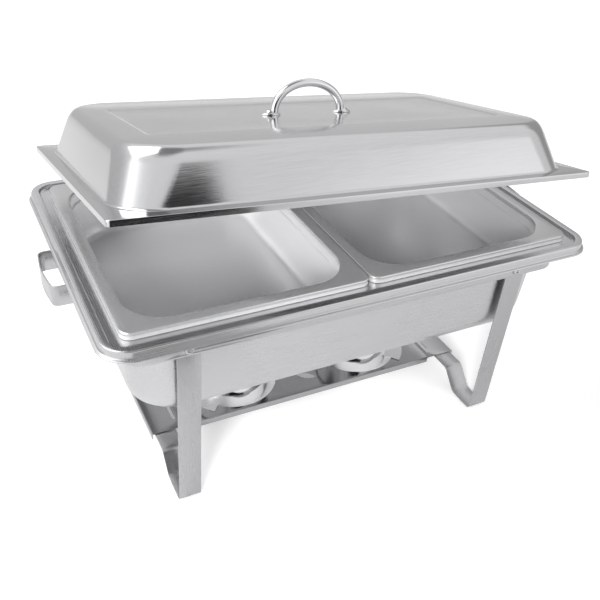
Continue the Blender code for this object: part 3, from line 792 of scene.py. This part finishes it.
def build_lid_shell(materials):
    rings = [
        (0, -6, 5, 0), (0, 0, 5, 1.4), (13.1, 0, 45, 2.8), (28.8, LID_HEIGHT, 54, 16),
        (65.4, LID_HEIGHT, 6, 0)]
    work = bmesh.new()
    loops = []
    for inset, height, radius in soften(rings)[:-1]:
        outline = rounded_rectangle(LID_HALF_X - inset, LID_HALF_Y - inset, radius)
        loops.append([work.verts.new((x, y, height)) for x, y in outline])
    panel = soften([
        (6, 4.0, LID_HEIGHT, 0), (1.6, 1.6, LID_HEIGHT, 1.1), (-1.4, -1.4, PANEL_HEIGHT, 1.0),
        (-30, -30, PANEL_HEIGHT, 0)], 5)
    for grow_x, grow_y, height in panel:
        outline = rounded_rectangle(PANEL_HALF_X + grow_x, PANEL_HALF_Y + grow_y, 5.5)
        loops.append([work.verts.new((x, y, height)) for x, y in outline])
    bridge(work, loops)
    close_with_fan(work, loops[-1], PANEL_HEIGHT)
    mesh = applied(to_mesh(work, "lid_shell"), "lid_shell", [thickened(LID_SHEET)])
    holes = [
        moved(rod("hole", BORE, -5, 5, "Z"), side * HANDLE_HALF, 0, LID_HEIGHT) for side in (-1, 1)]
    mesh = cut(mesh, "lid_shell_skin", holes)
    smooth(mesh)
    lid_piece("lid_shell", mesh, materials["lid"])


def build_lid_handle(materials):
    """A round bar bent into an arch, flattened at both ends into pointed feet."""
    seat = PANEL_HEIGHT + FIT
    radius, rise = 4.5, 30.5
    steps, around = 56, 24
    path = [(HANDLE_HALF, seat + 0.8), (HANDLE_HALF, seat + 2.0)]
    path += [
        (HANDLE_HALF * math.cos(math.pi * step / steps),
         seat + 2.8 + rise * math.sin(math.pi * step / steps)) for step in range(steps + 1)]
    path += [(-HANDLE_HALF, seat + 2.0), (-HANDLE_HALF, seat + 0.8)]
    work = bmesh.new()
    loops = []
    for index, (x, z) in enumerate(path):
        before = Vector(path[max(index - 1, 0)])
        after = Vector(path[min(index + 1, len(path) - 1)])
        run = (after - before).normalized()
        side = Vector((run.y, -run.x))
        loop = []
        for step in range(around):
            angle = 2 * math.pi * step / around
            out = side * radius * math.cos(angle)
            loop.append(work.verts.new((x + out.x, radius * math.sin(angle), z + out.y)))
        loops.append(loop)
    arch = stack("arch", work, loops)
    # Each level of a foot: its size as a share of the leaf below it, and its height.
    levels = [(1.0, 0.0), (1.0, 0.9), (0.93, 1.5), (0.78, 2.2), (0.60, 3.0), (0.48, 4.4)]
    outline = leaf(11, 6, 14)
    feet = []
    for side in (-1, 1):
        work = bmesh.new()
        loops = [
            [work.verts.new((x * scale, y * min(1, scale * 1.08), seat + height)) for x, y in outline]
            for scale, height in levels]
        feet.append(moved(stack("foot", work, loops), side * (HANDLE_HALF + 3), 0, 0))
    mesh = cut(arch, "lid_handle_skin", feet, "UNION")
    bores = [moved(rod("bore", BORE, -10, 9, "Z"), side * HANDLE_HALF, 0, seat) for side in (-1, 1)]
    mesh = cut(mesh, "lid_handle_skin", bores)
    smooth(mesh, 40)
    lid_piece("lid_handle", mesh, materials["chrome"])


def build_lid_fasteners(materials):
    washer_top = PANEL_HEIGHT - LID_SHEET - FIT
    head_top = washer_top - 1.4
    screw = [
        (0, head_top + 9), (1.7, head_top + 9), (2.2, head_top + 8.4), (2.2, head_top),
        (4.4, head_top), (4.4, head_top - 1.2), (4.0, head_top - 2.0), (3.0, head_top - 2.6),
        (1.6, head_top - 2.6), (1.5, head_top - 1.3), (0, head_top - 1.3)]
    washer = [
        (BORE, washer_top), (5.8, washer_top), (6.0, washer_top - 0.2), (6.0, washer_top - 0.8),
        (5.8, washer_top - 1.0), (BORE, washer_top - 1.0), (BORE, washer_top)]
    for side, word in ((-1, "left"), (1, "right")):
        for kind, profile in (("screw", screw), ("washer", washer)):
            name = f"lid_{kind}_{word}"
            mesh = moved(lathe(f"{name}_skin", profile, 36), side * HANDLE_HALF, 0, 0)
            smooth(mesh, 40)
            lid_piece(name, mesh, materials["rivet"])


# ---------------------------------------------------------------- the scene

build_camera()
build_world()
build_floor()
build_cards()
build_lights()
steels = build_materials()
build_food_pans(steels)
build_water_pan(steels)
build_rail(steels)
build_side_handles(steels)
build_legs(steels)
build_rivets(steels)
build_shelf(steels)
build_cups(steels)
build_lid_shell(steels)
build_lid_handle(steels)
build_lid_fasteners(steels)

bpy.context.scene.view_settings.view_transform = "Standard"
